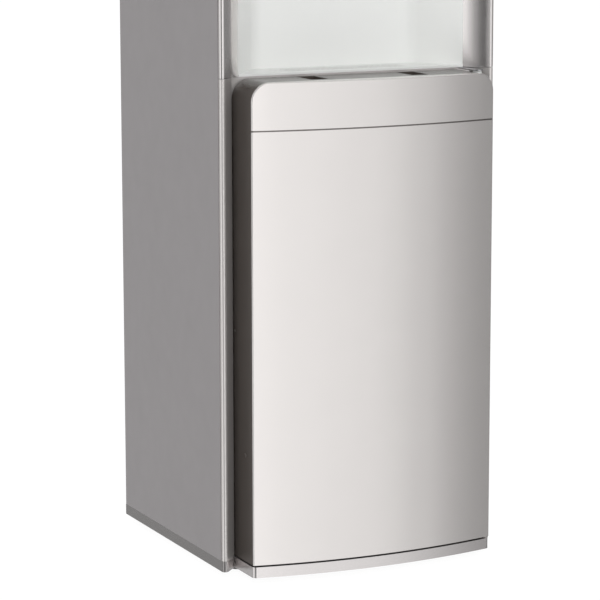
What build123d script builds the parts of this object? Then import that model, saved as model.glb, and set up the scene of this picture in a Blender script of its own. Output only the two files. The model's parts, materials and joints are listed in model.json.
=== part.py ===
from build123d import *
import math
import os

# Bottom load water cooler, in millimetres and degrees.  +X is the user's right, -Y the front, +Z up.  The
# origin is on the floor, under the middle of the whole object.  A "depth" is counted backwards from the
# plane of the cabinet's front corners; back() turns it into a Y coordinate.

# ---- cabinet
BODY_W = 338.0
BODY_D = 292.0
TOTAL_H = 1048.0
FOOT_H = 8.0
PLINTH_H = 12.2
SEAM_Z = 557.6            # joint between the lower and the upper front frame
SEAM_GAP = 0.5
COVER_H = 14.0
COVER_EDGE = 3.0
SHEET = 1.0
WALL = 2.5
NOSE_R = 3.9              # rounding of the cabinet's front corners
LOWER_TILT = 45.0         # how far the strip beside the door turns away from the front
UPPER_TILT = 20.0         # the same where the roll beside the alcove begins
ROLL_R = 52.0             # roll from the nose into the alcove
ROLL_END = 55.0
STRIP_IN = 19.4           # from the cabinet's side to the groove beside the door
PANEL_SEAM = 4.6          # depth at which the front frame ends on the side
PANEL_GAP = 1.6           # open joint between the front frame and the steel side panel
RECESS = 18.5             # depth of the face behind the door
STILE_W = 26.5            # from the cabinet's side to the bottle opening
STILE_RETURN = 30.0
TONGUE = 12.0
FLANGE = 14.0
HEAD_H = 15.0
SILL_H = 5.0

# ---- door
DOOR_MARGIN = 20.5
DOOR_REAR = 15.9
DOOR_PROUD = 35.7
BOW = 16.5
DOOR_GAP = 2.0
TOP_GAP = 2.0
DOOR_CORNER = 21.0
EDGE_R = 1.5
SKIN = 2.2
SKIN_GAP = 0.2
SKIN_RETURN = 1.2
CARRIER = 2.2
BAND_Z = 503.4
BAND_GROOVE = 1.6
GROOVE_DEPTH = 1.4
INNER_PANEL = 2.0
INNER_CORNER = 7.0
RIB_IN = 48.5
RIB_T = 3.0
RIB_DEPTH = 4.0
RIB_PITCH = 60.0
SCOOP_X = 61.5
SCOOP_W = 21.0
SCOOP_FRONT = -25.5
SCOOP_REAR = 13.0
SCOOP_H = 14.0
SCOOP_CORNER = 3.0
CUP_WALL = 1.6

# ---- door hinge and catch
HINGE_IN = 8.0            # from the door's side to the hinge axis
HINGE_DEPTH = -12.0
PIN_R = 3.0
PIN_CLEAR = 0.05
PIN_SHORT = 2.0           # the pins stop this far before the end of their bushes
BUSH_R = 5.0
BUSH_LEN = 12.0
BUSH_FLANGE_R = 7.0
BUSH_LIFT = 0.1
BUSH_BOSS = 2.5
BRACKET_T = 1.4
BRACKET_W = 14.0
BRACKET_BACK = 40.0
MAGNET_W = 46.0
MAGNET_H = 14.0
MAGNET_L = 16.0
MAGNET_IN = 47.5
MAGNET_STEP = 6.0
STRIKE_STEP = 8.0
STRIKE_T = 1.2

# ---- feet and base
FOOT_IN = 39.0
FRONT_FOOT_D = 45.0
REAR_FOOT_IN = 30.0
FOOT_R = 15.0
FOOT_PAD = 5.0
FOOT_CHAMFER = 1.2
STEM_R = 4.0
FOOT_BOSS = 4.0
BASE_TOP = 2.5
PLATE_T = 3.0             # bottle tray: plate, ring and spokes
RING_IN = 16.75
RING_W = 8.0
RING_H = 3.0
SPOKE_W = 4.0
SPOKE_STEP = 45

# ---- shelves
SHELF_T = 1.5
SHELF_DROP = 16.6         # from the seam down to the machine shelf's underside
SHELF_LIP = 14.0
SHELF_NOSE = 2.0
TANK_SHELF_UP = 202.4     # from the seam up to the tank shelf's underside
TANK_SHELF_GAP = 20.0     # from the alcove's back wall to the tank shelf
TANK_SHELF_LIP = 12.0

# ---- alcove
ALCOVE_SHARE = 0.534      # of the height between the seam and the cover
ALCOVE_BACK = 73.5
FLARE_ANGLE = 53.0        # how far the alcove's side walls turn away from the front
BACK_R = 24.0
TRAY_W = 164.0
TRAY_L = 43.0
TRAY_H = 11.0
TRAY_WALL = 1.6
TRAY_CORNER = 4.0
TRAY_CLEAR = 0.6
TRAY_SEAT = 0.1
WELL_WALL = 1.5
GRILLE_T = 3.0
GRILLE_RIM = 6.0
GRILLE_END = 10.0
SLOT_W = 2.4
SLOT_PITCH = 6.0
LIGHT_W = 30.0
LIGHT_L = 8.0
LIGHT_IN = 9.0            # from the alcove's back wall to the middle of the light
LIGHT_FLANGE = 3.0
LIGHT_T = 1.5
LIGHT_OUT = 0.8
NOZZLE_X = 60.0
NOZZLE_D = 44.0
NOZZLE_R = 9.0
NOZZLE_H = 26.0
NOZZLE_STEP = 2.0
NOZZLE_STUB = 14.0
COLLAR_H = 6.0
TIP_H = 6.0

# ---- controls
FRONT_EDGE = 5.0          # rounding of the fascia, the base's lip and the cover's lip
FASCIA_GAP = 1.0
FASCIA_CORNER = 21.0
INSERT_IN = 40.5
INSERT_H = 74.0
INSERT_UP = 60.5          # from the fascia's lower edge to the middle of the button panel
INSERT_T = 2.0
INSERT_CORNER = 10.0
INSERT_CLEAR = 0.2
PAD_GROW = 3.0
BOSS_R = 4.0
BOSS_IN = 8.0
BOSS_UP = 30.0
BUTTON_W = 38.0
BUTTON_H = 26.0
BUTTON_X = 66.0
BUTTON_DOWN = 6.0
BUTTON_OUT = 2.5
BUTTON_TRAVEL = 3.0
BUTTON_CLEAR = 0.5
BUTTON_CORNER = 6.0
BUTTON_EDGE = 1.2
BUTTON_WALL = 2.5
BUTTON_FACE = 4.0
KEY_STEM_R = 3.0
LENS_R = 2.5
LENS_UP = 24.0
LENS_CLEAR = 0.1
LENS_OUT = 0.3
BOARD_BACK = 18.2         # from the front of the bow to the circuit board
BOARD_T = 1.6
BOARD_IN = 3.0
BOARD_EDGE = 1.0
BOARD_KEY = 10.0
BOARD_KEY_T = 6.0
CHIP_W = 50.0
CHIP_H = 14.0
CHIP_T = 4.0
CHIP_UP = 23.0
LOCK_W = 9.0
LOCK_H = 5.0
LOCK_TRAVEL = 8.0
LOCK_DOWN = 29.5
LOCK_OUT = 1.2
RIDGE_W = 1.2
RIDGE_PITCH = 2.5
RIDGE_DEEP = 0.6

# ---- rear
REAR_SPLIT_UP = 142.4     # from the seam up to the joint between the rear panels
PANEL_IN = 2.0
PANEL_JOINT = 1.0
SCREW_R = 1.9
SCREW_HEAD = 3.6
SCREW_HEAD_T = 2.0
SCREW_LEN = 4.0
SCREW_END = 20.0
SCREW_SPLIT = 15.0
CROSS_R = 1.0
CROSS_DEEP = 0.8
VENT_ROWS = 6
VENT_PITCH = 12.0
VENT_UP = 30.0
VENT_W = 56.0
VENT_H = 4.0
VENT_X = 70.0
COND_IN = 31.0
COND_Z0 = 95.0
COND_RUNS = 11
COND_UNDER = 2.6
COND_STAND = 11.0
COND_STRAIGHT = 1.0
WIRE_R = 0.75
WIRE_CLEAR = 0.02
WIRE_PITCH = 12.0
WIRE_OVER = 8.0
TAB_IN = 20.0
TAB_W = 10.0
TAB_SUNK = 0.5
INLET_IN = 51.0
INLET_DOWN = 78.0
INLET_W = 27.4
INLET_H = 20.4
INLET_RIM = 3.3
INLET_T = 2.5
INLET_LEN = 24.0
SOCKET_WALL = 1.7
SOCKET_DEEP = 16.0
PRONG_W = 2.0
PRONG_H = 4.0
PRONG_PITCH = 7.0
PRONG_LEN = 14.0
SWITCH_X = 62.0
SWITCH_DOWN = 129.0
SWITCH_W = 19.0
SWITCH_H = 13.0
SWITCH_PITCH = 30.0
SWITCH_RIM = 2.0
SWITCH_LEN = 16.0
SWITCH_WALL = 2.0
SWITCH_FLOOR = 4.0
ROCKER_R = 6.6
ROCKER_CLEAR = 0.4
ROCKER_SUNK = 1.0
ROCKER_BACK = 4.0
BITE_R = 10.0
BITE_OFF = 14.0
PIPE_EXIT_DOWN = 25.0

# ---- compressor
COMP_IN = 93.0            # from the cabinet's inner side to the compressor's axis
COMP_BACK = 90.0
COMP_R = 54.0
COMP_H = 128.0
COMP_DOME = 22.0
COMP_LIFT = 2.0
COMP_FEET_W = 132.0
COMP_FEET_D = 100.0
COMP_FEET_T = 2.5
COMP_FEET_CORNER = 12.0
RELAY_SUNK = 8.0
RELAY_OUT = 22.0
RELAY_W = 50.0
RELAY_Z = 30.0
RELAY_H = 48.0
WELD_Z = 62.0
WELD_H = 3.0
WELD_OUT = 2.0
GROMMET_X = 54.0
GROMMET_D = 38.0
GROMMET_H = 9.0
GROMMET_R = 8.0
GROMMET_NECK = 5.0
GROMMET_LIP = 6.0
GROMMET_LIP_H = 3.0
GROMMET_BORE = 2.0

# ---- tanks
FOAM = 18.0
JACKET = 7.0
TANK_WALL = 1.5
TANK_EDGE = 10.0
COLD_SIDE = 18.0
COLD_REAR = 6.0
COLD_FRONT = 9.0
TANKS_APART = 11.0
HOT_SIDE = 25.0
HOT_REAR = 22.0
HOSE_ROOM = 58.5          # above the cold tank's insulation
HOT_LOWER = 18.0
COIL_TURNS = 5
COIL_START = 0.48         # shares of the cold tank's height
COIL_STEP = 0.079
COIL_SUNK = 0.8
PORT_UP = 23.0
PORT_DOWN = 24.0
HOT_PORT_DOWN = 22.0
HOT_STUB = 4.0
DRAIN_UP = 18.5
DRAIN_OUT = 9.0
CAP_OUT = 1.5
DRAIN_CAP_LEN = 11.5
DRAIN_CAP_END = 0.5
DRAIN_CAP_WALL = 4.0
DRAIN_CAP_EDGE = 1.5
GRIP_OUT = 0.4
GRIP_R = 1.0
GRIP_STEP = 30
FOAM_GROOVE = 2.0
FOAM_GROOVE_DEEP = 1.0

# ---- pump, hoses and pipes
HOSE_R = 5.0
HOSE_BORE = 3.5
HOLE_CLEAR = 1.0
JOIN = 1.0                # how far a spigot runs into the wall it grows from
PUMP_X = 62.0
PUMP_AHEAD = 42.0
PUMP_BASE_W = 52.0
PUMP_BASE_D = 44.0
PUMP_BASE_T = 3.0
PUMP_AXIS = 20.0
MOTOR_R = 17.0
MOTOR_L = 50.0
MOTOR_X = 16.0
HEAD_X = 20.5
HEAD_W = 23.0
HEAD_D = 40.0
SADDLE_X = 7.0
SADDLE_W = 34.0
SADDLE_D = 28.0
SADDLE_DROP = 8.0
PORT_X = 20.0
PORT_D = 10.0
PORT_TOP = 52.0
INTAKE_RISE = 145.0
INTAKE_ARCH = 180.0
INTAKE_FALL = 140.0
INTAKE_ENTRY = 110.0
INTAKE_X = 60.0
INTAKE_D = 10.0
INTAKE_AHEAD = 20.0
INTAKE_BEND = 25.0
RISER_X = 38.0
RISER_D = 120.0
RISER_START = 30.0
RISER_ENTRY = 60.0
RISER_TOP = 30.0
RISER_LOW_BEND = 14.0
RISER_BEND = 22.0
NOZZLE_BEND = 14.0
HOSE_TURN = 0.5           # share of the way from tank to nozzle at which a hose turns to its nozzle
PIPE_R = 2.4
PIPE_BORE = 1.7
PIPE_SIDE = 8.0
PIPE_TOP = 28.0
PIPE_OFF = 20.0
PIPE_MID_X = 60.0
PIPE_MID_D = 13.0
PIPE_FAR_D = 53.0
PIPE_BEND = 12.0
PIPE_WIDE_BEND = 20.0
PIPE_TIGHT = 0.96         # bends beside the condenser, as a share of the side offset
LIQUID_BACK = 12.0
DRIER_DOWN = 10.0
DRIER_H = 55.0
DRIER_R = 9.0
DRIER_TAPER = 5.0
SUCTION_IN = 29.0
SUCTION_D = 120.0
SUCTION_UP = 40.0
SUCTION_SHARE = 0.33      # of the compressor's height

# ---- bottle probe
PROBE_IN = 33.0
PROBE_BACK = 30.0
PROBE_R = 7.0
PROBE_UP = 39.0
PROBE_SLOT_W = 4.0
PROBE_SLOT_H = 10.0
PROBE_SLOT_UP = 8.0
CAP_R = 24.0
CAP_H = 18.0
CAP_EDGE = 3.0
CAP_DOWN = 89.0
CAP_NECK = 10.0
NECK_WALL = 2.0
HOOK_W = 32.0
HOOK_T = 4.0
HOOK_FRONT = 14.0
HOOK_PLATE_T = 3.0
HOOK_PLATE_H = 40.0
HOOK_CLEAR = 1.5

FIT = 0.3                 # clearance between pieces that only lie beside each other
CUT = 1.0                 # how far a cutting shape runs past what it cuts

# ---- worked out
DOOR_SIDE_TILT = math.radians(LOWER_TILT)
ALCOVE_SIDE_TILT = math.radians(UPPER_TILT)
SPLAY = math.radians(FLARE_ANGLE)
HALF_W = BODY_W / 2
INSIDE_X = HALF_W - SHEET
OPENING_HALF = HALF_W - STILE_W
DOOR_HALF = HALF_W - DOOR_MARGIN
BOW_R = (DOOR_HALF ** 2 + BOW ** 2) / (2 * BOW)
BOW_FRONT = -(DOOR_PROUD + BOW)
PANEL_BACK = BODY_D + SHEET
INSIDE_BACK = BODY_D - SHEET
TUBE_DEPTH = PANEL_BACK + COND_STAND
WIRE_OFF = PIPE_R + WIRE_R + WIRE_CLEAR
OBJECT_BACK = TUBE_DEPTH + WIRE_OFF + WIRE_R
FRONT_Y = -(OBJECT_BACK - BOW_FRONT) / 2 - BOW_FRONT
BASE_Z = FOOT_H + PLINTH_H
DOOR_Z0 = BASE_Z + DOOR_GAP
DOOR_Z1 = SEAM_Z - TOP_GAP
CARRIER_IN = SKIN + SKIN_GAP
COVER_Z = TOTAL_H - COVER_H
SHELF_Z = SEAM_Z - SHELF_DROP
SHELF_TOP = SHELF_Z + SHELF_T
TANK_SHELF_Z = SEAM_Z + TANK_SHELF_UP
TANK_FLOOR = TANK_SHELF_Z + SHELF_T
REAR_SPLIT = SEAM_Z + REAR_SPLIT_UP
HINGE_X = DOOR_HALF - HINGE_IN
MAGNET_X = MAGNET_IN - OPENING_HALF
FOOT_X = HALF_W - FOOT_IN
REAR_FOOT_D = BODY_D - REAR_FOOT_IN
CAVITY_MID = (RECESS + BODY_D) / 2
RING_R = BODY_D - CAVITY_MID - RING_IN
SCREW_X = HALF_W - FLANGE / 2
LOWER_SCREWS = [BASE_Z + SCREW_END, (BASE_Z + REAR_SPLIT) / 2, REAR_SPLIT - SCREW_SPLIT]
UPPER_SCREWS = [REAR_SPLIT + SCREW_SPLIT, COVER_Z - SCREW_END]

NOSE_X = HALF_W - NOSE_R
STRIP_X = HALF_W - STRIP_IN
ROLL_TURN = math.radians(ROLL_END)


def nose_point(turn):
    """Place where the rounded front corner is turned that far from the front, as (x, depth)."""
    return NOSE_X - NOSE_R * math.sin(turn), NOSE_R - NOSE_R * math.cos(turn)


def roll_point(turn):
    """The same on the roll between the corner and the alcove."""
    x, depth = nose_point(ALCOVE_SIDE_TILT)
    return (x - ROLL_R * (math.sin(turn) - math.sin(ALCOVE_SIDE_TILT)),
            depth + ROLL_R * (math.cos(ALCOVE_SIDE_TILT) - math.cos(turn)))


STRIP_START_X, STRIP_START_DEPTH = nose_point(DOOR_SIDE_TILT)
STRIP_DEPTH = STRIP_START_DEPTH + (STRIP_START_X - STRIP_X) * math.tan(DOOR_SIDE_TILT)
FLARE_X, FLARE_DEPTH = roll_point(ROLL_TURN)
FLARE_RUN = (ALCOVE_BACK - FLARE_DEPTH - BACK_R * (1 - math.cos(SPLAY))) / math.sin(SPLAY)
FLOOR_Z = SEAM_Z + WALL
CEILING_Z = SEAM_Z + ALCOVE_SHARE * (COVER_Z - SEAM_Z)
FASCIA_Z = CEILING_Z + WALL + FASCIA_GAP
NOZZLE_TOP = CEILING_Z + WALL + NOZZLE_STUB
TANK_SHELF_D = ALCOVE_BACK + WALL + TANK_SHELF_GAP
LIGHT_D = ALCOVE_BACK - LIGHT_IN
TRAY_FRONT = RECESS + WALL + FIT + WELL_WALL + TRAY_CLEAR
TRAY_REAR = TRAY_FRONT + TRAY_L
TRAY_Z = FLOOR_Z - GRILLE_T - TRAY_H
LOWER_STRIP = [(-STRIP_X, STRIP_DEPTH), (-STRIP_X, RECESS), (-OPENING_HALF, RECESS),
               (-OPENING_HALF, STILE_RETURN)]

INSERT_HALF = DOOR_HALF - INSERT_IN
INSERT_Z = FASCIA_Z + INSERT_UP
BUTTON_Z = INSERT_Z - BUTTON_DOWN
LENS_Z = INSERT_Z + LENS_UP
LOCK_Z = INSERT_Z - LOCK_DOWN
BUTTONS = (-BUTTON_X, 0, BUTTON_X)
BOARD_FRONT = BOW_FRONT + BOARD_BACK
KEY_BACK = BOARD_FRONT - BUTTON_TRAVEL

COMP_X = COMP_IN - INSIDE_X
COMP_D = BODY_D - COMP_BACK
COMP_Z = SHELF_TOP + GROMMET_H
COMP_TOP = COMP_Z + COMP_H
GROMMETS = [(COMP_X + sx * GROMMET_X, COMP_D + sd * GROMMET_D) for sx in (-1, 1) for sd in (-1, 1)]

COLD_R = (INSIDE_BACK - COLD_REAR - TANK_SHELF_D - COLD_FRONT) / 2 - FOAM
COLD_D = INSIDE_BACK - COLD_REAR - FOAM - COLD_R
COLD_X = COLD_SIDE + FOAM + COLD_R - INSIDE_X
COLD_Z = TANK_FLOOR + FOAM
COLD_H = COVER_Z - TANK_FLOOR - 2 * FOAM - HOSE_ROOM
COLD_TOP = COLD_Z + COLD_H
COLD_PORT_Z = NOZZLE_TOP + PORT_UP
ROOM_PORT_Z = COLD_TOP - PORT_DOWN
FOAM_R = COLD_R + FOAM
HOT_R = INSIDE_X - (COLD_SIDE + TANKS_APART + HOT_SIDE) / 2 - FOAM_R - JACKET
HOT_X = INSIDE_X - HOT_SIDE - JACKET - HOT_R
HOT_D = INSIDE_BACK - HOT_REAR - JACKET - HOT_R
HOT_Z = TANK_FLOOR + JACKET
HOT_H = COLD_H - HOT_LOWER
HOT_TOP = HOT_Z + HOT_H
HOT_PORT_Z = HOT_TOP - HOT_PORT_DOWN
HOT_FRONT = HOT_D - HOT_R - JACKET - HOT_STUB
DRAIN_Z = TANK_FLOOR + DRAIN_UP

PUMP_D = COMP_D - PUMP_AHEAD
PUMP_PORT_X = PUMP_X - PORT_X
PUMP_PORT_Z = SHELF_TOP + PORT_TOP
PIPE_EXIT_Z = REAR_SPLIT - PIPE_EXIT_DOWN
COND_X = HALF_W - COND_IN
COND_PITCH = (SEAM_Z - COND_UNDER - COND_Z0) / (COND_RUNS - 1)
COND_TOP = COND_Z0 + (COND_RUNS - 1) * COND_PITCH
DISCHARGE_X = COND_X + PIPE_SIDE
LIQUID_X = -DISCHARGE_X
LIQUID_D = BODY_D - LIQUID_BACK
DRIER_Z0 = REAR_SPLIT - DRIER_DOWN
DRIER_Z1 = DRIER_Z0 + DRIER_H
SUCTION_X = SUCTION_IN - HALF_W
INLET_X = INLET_IN - HALF_W
INLET_Z = REAR_SPLIT - INLET_DOWN
SWITCH_Z = COVER_Z - SWITCH_DOWN
SWITCHES = [SWITCH_X + i * SWITCH_PITCH for i in range(3)]

PROBE_X = PROBE_IN - HALF_W
PROBE_D = BODY_D - PROBE_BACK
CAP_Z = SHELF_Z - CAP_DOWN
PROBE_Z = BASE_Z + PROBE_UP
HOSE_Z = CAP_Z + CAP_H + CAP_NECK
FAR = 3 * BODY_W


def back(depth):
    return FRONT_Y + depth


def box(x0, x1, d0, d1, z0, z1):
    centre = Pos((x0 + x1) / 2, back((d0 + d1) / 2), (z0 + z1) / 2)
    return centre * Box(x1 - x0, d1 - d0, z1 - z0)


def block(x, depth, z, wide, deep, high):
    """Box by its middle."""
    return Pos(x, back(depth), z) * Box(wide, deep, high)


def post(x, depth, z0, z1, radius):
    return Pos(x, back(depth), (z0 + z1) / 2) * Cylinder(radius, z1 - z0)


def peg(x, d0, d1, z, radius):
    return Pos(x, back((d0 + d1) / 2), z) * Rot(90, 0, 0) * Cylinder(radius, d1 - d0)


def mirrored(shape):
    return shape.mirror(Plane.YZ)


def pipe(points, radii, radius, bore):
    """Round tube along straight runs joined by tangent arcs; points are (x, depth, z)."""
    path = FilletPolyline(*[(x, back(d), z) for x, d, z in points], radius=radii)
    start = Plane(origin=path @ 0, z_dir=path % 0)
    return sweep(start * (Circle(radius) - Circle(bore)), path=path)


# ---- the bowed front, shared by the door, its skin, the control fascia and the base's lip

def bow_depth(x):
    return BOW_FRONT + BOW_R - math.sqrt(BOW_R ** 2 - x ** 2)


def bowed(z0, z1, half, rear, setback=0.0, top_r=0.0, bottom_r=0.0):
    """Upright block whose front is the bow moved back by setback, with rounded corners in front view."""
    height = z1 - z0
    face = Rectangle(2 * half, height)
    corners = face.vertices().sort_by(Axis.Y)
    if bottom_r > 0:
        face = fillet(corners[:2], bottom_r)
        corners = face.vertices().sort_by(Axis.Y)
    if top_r > 0:
        face = fillet(corners[-2:], top_r)
    sketch = Pos(0, back(rear), (z0 + z1) / 2) * (Plane.XZ * face)
    solid = extrude(sketch, amount=rear - BOW_FRONT + WALL, dir=(0, -1, 0))
    drum = Pos(0, back(BOW_FRONT + BOW_R), (z0 + z1) / 2) * Cylinder(BOW_R - setback, height + 2 * WALL)
    return solid & drum


def front_edges(solid, below=None, above=None):
    """Edges round the bowed face, without the one along the bottom or the top."""
    limit = back(-DOOR_PROUD + 2 * FRONT_EDGE)
    edges = [e for e in solid.edges() if e.bounding_box().max.Y < limit]
    if below is not None:
        edges = [e for e in edges if e.bounding_box().min.Z < below]
    if above is not None:
        edges = [e for e in edges if e.bounding_box().max.Z > above]
    return edges


def door_block(inset=0.0, setback=0.0, rear=DOOR_REAR, edge=0.0):
    solid = bowed(DOOR_Z0 + inset, DOOR_Z1 - inset, DOOR_HALF - inset, rear, setback, DOOR_CORNER - inset)
    if edge > 0:
        solid = fillet(front_edges(solid, above=DOOR_Z0 + inset + FRONT_EDGE), edge)
    return solid


# ---- front frame section

def on_left(point):
    return -point[0], back(point[1])


def corner_edges(tilt):
    """Side and nose of the left front corner, seen from above."""
    half_turn = (tilt - math.pi / 2) / 2
    start = (-HALF_W, back(NOSE_R))
    side = Line((-HALF_W, back(PANEL_SEAM)), start)
    nose = ThreePointArc(start, on_left(nose_point(half_turn)), on_left(nose_point(tilt)))
    return side.edges() + nose.edges()


def door_side_edges(points):
    """Left front corner beside the door, with its tilted strip and then the given points."""
    strip = Polyline(on_left(nose_point(DOOR_SIDE_TILT)), *[(x, back(d)) for x, d in points])
    return corner_edges(DOOR_SIDE_TILT) + strip.edges()


def alcove_side_edges():
    """Left front corner beside the alcove, with its roll and its return."""
    half_turn = (ALCOVE_SIDE_TILT + ROLL_TURN) / 2
    end = on_left((FLARE_X, FLARE_DEPTH))
    roll = ThreePointArc(on_left(nose_point(ALCOVE_SIDE_TILT)), on_left(roll_point(half_turn)), end)
    return corner_edges(ALCOVE_SIDE_TILT) + roll.edges() + Line(end, (-FLARE_X, back(STILE_RETURN))).edges()


def stile(edges, z0, z1):
    section = make_face(offset(Wire(edges), amount=WALL, side=Side.LEFT).edges())
    wall = extrude(Pos(0, 0, z0) * section, amount=z1 - z0, dir=(0, 0, 1))
    tongue = box(-INSIDE_X, -INSIDE_X + WALL, NOSE_R, PANEL_SEAM + TONGUE, z0, z1)
    return wall + tongue


def lower_front_frame():
    left = stile(door_side_edges(LOWER_STRIP), BASE_Z, SEAM_Z)
    half = OPENING_HALF + WALL
    rail = box(-half, half, RECESS, RECESS + WALL, SHELF_Z - WALL, SEAM_Z)
    ledge = box(-half, half, RECESS, STILE_RETURN, SHELF_Z - WALL, SHELF_Z)
    sill = box(-half, half, RECESS, RECESS + WALL, BASE_Z, BASE_Z + SILL_H)
    seat_x = HINGE_X - BRACKET_W / 2
    seat = box(seat_x, OPENING_HALF + WALL / 2, RECESS, BRACKET_BACK, SHELF_TOP, SEAM_Z - BRACKET_T)
    notch = box(seat_x - FIT, seat_x + BRACKET_W + FIT, RECESS - FIT, BRACKET_BACK + FIT, SEAM_Z - BRACKET_T,
                SEAM_Z + FIT)
    return left + mirrored(left) + rail + ledge + sill + seat - notch


def upper_front_frame():
    split = CEILING_Z + WALL
    left = stile(alcove_side_edges(), SEAM_Z + SEAM_GAP, split)
    left += stile(door_side_edges(LOWER_STRIP), split, COVER_Z)
    half = OPENING_HALF + WALL / 2
    head = box(-half, half, STILE_RETURN - WALL, STILE_RETURN, COVER_Z - HEAD_H, COVER_Z)
    return left + mirrored(left) + head


# ---- base

def cabinet_plan():
    left = door_side_edges(LOWER_STRIP[:2])
    start = Line((-HALF_W, back(BODY_D)), (-HALF_W, back(PANEL_SEAM)))
    half = list(start.edges()) + list(left)
    right = [e.mirror(Plane.YZ) for e in half]
    across = Line((-STRIP_X, back(RECESS)), (STRIP_X, back(RECESS)))
    rear = Line((-HALF_W, back(BODY_D)), (HALF_W, back(BODY_D)))
    return make_face(half + list(across.edges()) + right + list(rear.edges()))


def bowed_lip(z0, z1):
    """Part of the base or the cover that follows the door's front, with its two upright edges rounded."""
    lip = bowed(z0, z1, DOOR_HALF, RECESS)
    limit = back(CUT - DOOR_PROUD)
    return fillet([e for e in lip.edges().filter_by(Axis.Z) if e.center().Y < limit], FRONT_EDGE)


def base_pan():
    top = BASE_Z - BASE_TOP
    body = extrude(Pos(0, 0, FOOT_H) * cabinet_plan(), amount=PLINTH_H, dir=(0, 0, 1))
    lip = bowed_lip(FOOT_H, BASE_Z)
    under = box(-HALF_W + WALL, HALF_W - WALL, RECESS + WALL, BODY_D - WALL, 0, top)
    lip_under = bowed(0, top, DOOR_HALF - WALL, RECESS - WALL, WALL)
    pan = body + lip - under - lip_under
    for x in (-FOOT_X, FOOT_X):
        pan += post(x, FRONT_FOOT_D, FOOT_H, top, STEM_R + FOOT_BOSS)
        pan -= post(x, FRONT_FOOT_D, 0, top, STEM_R + PIN_CLEAR)
        pan += post(x, REAR_FOOT_D, 0, top, FOOT_R)
    pan += post(HINGE_X, HINGE_DEPTH, FOOT_H, top, PIN_R + FOOT_BOSS)
    return pan - post(HINGE_X, HINGE_DEPTH, FOOT_H + BASE_TOP, BASE_Z, PIN_R)


def levelling_foot(x):
    pad = post(x, FRONT_FOOT_D, 0, FOOT_PAD, FOOT_R)
    pad = chamfer(pad.edges().sort_by(Axis.Z)[-1], FOOT_CHAMFER)
    return pad + post(x, FRONT_FOOT_D, FOOT_PAD, BASE_Z - BASE_TOP - FIT, STEM_R)


def bottle_tray():
    """Plate with a ring and spokes that carry the bottle."""
    half = OPENING_HALF - FIT
    top = BASE_Z + PLATE_T
    tray = box(-half, half, RECESS + WALL + FIT, INSIDE_BACK - FIT, BASE_Z, top)
    ring = post(0, CAVITY_MID, top, top + RING_H, RING_R)
    tray += ring - post(0, CAVITY_MID, top, top + RING_H, RING_R - RING_W)
    for turn in range(0, 180, SPOKE_STEP):
        spoke = Box(2 * (RING_R - RING_W), SPOKE_W, RING_H)
        tray += Pos(0, back(CAVITY_MID), top + RING_H / 2) * Rot(0, 0, turn) * spoke
    return tray


# ---- steel panels

def left_side_panel():
    skin = box(-HALF_W, -INSIDE_X, PANEL_SEAM + PANEL_GAP, BODY_D, BASE_Z, COVER_Z)
    flange = box(-HALF_W, -HALF_W + FLANGE, INSIDE_BACK, BODY_D, BASE_Z, COVER_Z)
    panel = skin + flange
    outer = panel.edges().filter_by(Axis.Z).sort_by(Axis.X)
    panel = fillet(outer.group_by(Axis.X)[0].sort_by(Axis.Y)[-1], SHEET - PIN_CLEAR)
    return screw_holes(panel, LOWER_SCREWS + UPPER_SCREWS, (-SCREW_X,))


def screw_holes(panel, heights, sides=(-SCREW_X, SCREW_X)):
    for z in heights:
        for x in sides:
            panel -= peg(x, INSIDE_BACK - CUT, PANEL_BACK + CUT, z, SCREW_R + PIN_CLEAR)
    return panel


def lower_rear_panel():
    half = HALF_W - PANEL_IN
    panel = box(-half, half, BODY_D, PANEL_BACK, BASE_Z, REAR_SPLIT - PANEL_JOINT)
    panel = screw_holes(panel, LOWER_SCREWS)
    tab_back = TUBE_DEPTH - PIPE_R - FIT
    tab_mid = (PANEL_BACK - TAB_SUNK + tab_back) / 2
    for x in (TAB_IN - COND_X, COND_X - TAB_IN):
        for run in (1, COND_RUNS - 2):
            z = COND_Z0 + run * COND_PITCH
            panel += block(x, tab_mid, z, TAB_W, tab_back - PANEL_BACK + TAB_SUNK, TAB_W)
    panel -= block(INLET_X, BODY_D, INLET_Z, INLET_W + 2 * FIT, 2 * SHEET + CUT, INLET_H + 2 * FIT)
    for x in (DISCHARGE_X, LIQUID_X):
        panel -= peg(x, BODY_D - CUT, PANEL_BACK + CUT, PIPE_EXIT_Z, PIPE_R + HOLE_CLEAR)
    return panel


def upper_rear_panel():
    half = HALF_W - PANEL_IN
    panel = box(-half, half, BODY_D, PANEL_BACK, REAR_SPLIT, COVER_Z)
    panel = screw_holes(panel, UPPER_SCREWS)
    for row in range(VENT_ROWS):
        z = REAR_SPLIT + VENT_UP + row * VENT_PITCH
        for x in (-VENT_X, 0, VENT_X):
            panel -= block(x, BODY_D, z, VENT_W, 2 * SHEET + CUT, VENT_H)
    for x in SWITCHES:
        panel -= block(x, BODY_D, SWITCH_Z, SWITCH_W, 2 * SHEET + CUT, SWITCH_H)
    return panel - peg(HOT_X, BODY_D - CUT, PANEL_BACK + CUT, DRAIN_Z, HOSE_R + HOLE_CLEAR)


def panel_screws():
    screws = []
    head = PANEL_BACK + SCREW_HEAD_T
    for z in LOWER_SCREWS + UPPER_SCREWS:
        for x in (-SCREW_X, SCREW_X):
            screw = peg(x, BODY_D - SCREW_LEN, head, z, SCREW_R) + peg(x, PANEL_BACK, head, z, SCREW_HEAD)
            screws.append(screw - peg(x, head - CROSS_DEEP, head + CUT, z, CROSS_R))
    return Compound(children=screws)


# ---- shelves

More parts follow.
